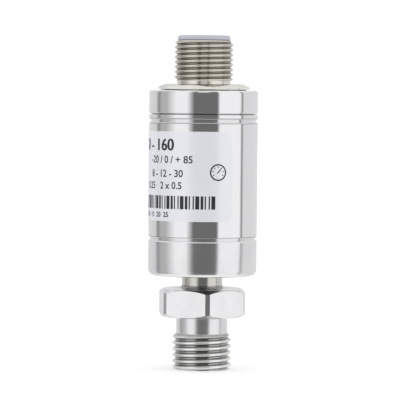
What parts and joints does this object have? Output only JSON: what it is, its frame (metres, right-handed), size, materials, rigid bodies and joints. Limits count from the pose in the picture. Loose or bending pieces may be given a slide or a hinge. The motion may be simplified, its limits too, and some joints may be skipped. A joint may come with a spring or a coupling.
{
  "type": "pressure transmitter",
  "caption": "Compact cylindrical pressure transmitter with a threaded pressure stud, a hexagon, a slim neck, a round steel body with a label, and a round plug connector.",
  "frame": {"origin": "centre of the end face of the process thread", "axes": "+Z along the body's axis from the process thread to the connector, -Y through the front of the label"},
  "size_m": [0.0223, 0.0223, 0.068],
  "materials": {
    "port_steel": "fine turned stainless steel",
    "body_steel": "fine turned stainless steel",
    "lock_steel": "turned stainless steel",
    "nickel_brass": "nickel plated brass",
    "gold_contact": "gold plated",
    "tinned_lead": "tinned",
    "insert_plastic": "satin moulded plastic",
    "carrier_plastic": "satin moulded plastic",
    "washer_plastic": "satin",
    "filter_ptfe": "matt porous",
    "seal_rubber": "matt",
    "cell_ceramic": "lapped",
    "board_laminate": "solder mask",
    "chip_black": "moulded",
    "capacitor_ceramic": "matt",
    "resistor_film": "gloss top",
    "label_foil": "satin printed foil"
  },
  "bodies": {
    "root": {"process_fitting": "port_steel", "cell_seal": "seal_rubber", "sensor_cell": "cell_ceramic", "thrust_washer": "washer_plastic", "lock_ring": "lock_steel", "housing_sleeve": "body_steel", "base_spigot_seal": "seal_rubber", "vent_ring": "body_steel", "vent_seal": "seal_rubber", "vent_filter": "filter_ptfe", "housing_cap": "body_steel", "label": "label_foil", "board_carrier": "carrier_plastic", "main_board": "board_laminate", "cell_leads": "tinned_lead", "header_pins": "gold_contact", "connector_board": "board_laminate", "connector_shell": "nickel_brass", "flange_seal": "seal_rubber", "connector_nut": "nickel_brass", "connector_insert": "insert_plastic", "insert_seal": "seal_rubber", "conditioner_chip": "chip_black", "regulator_chip": "chip_black", "surge_suppressor": "chip_black", "capacitor_1": "capacitor_ceramic", "resistor_1": "resistor_film", "contact_pin_1": "gold_contact", "capacitor_2": "capacitor_ceramic", "resistor_2": "resistor_film", "contact_pin_2": "gold_contact", "capacitor_3": "capacitor_ceramic", "resistor_3": "resistor_film", "contact_pin_3": "gold_contact", "capacitor_4": "capacitor_ceramic", "resistor_4": "resistor_film", "contact_pin_4": "gold_contact"}
  },
  "joints": []
}
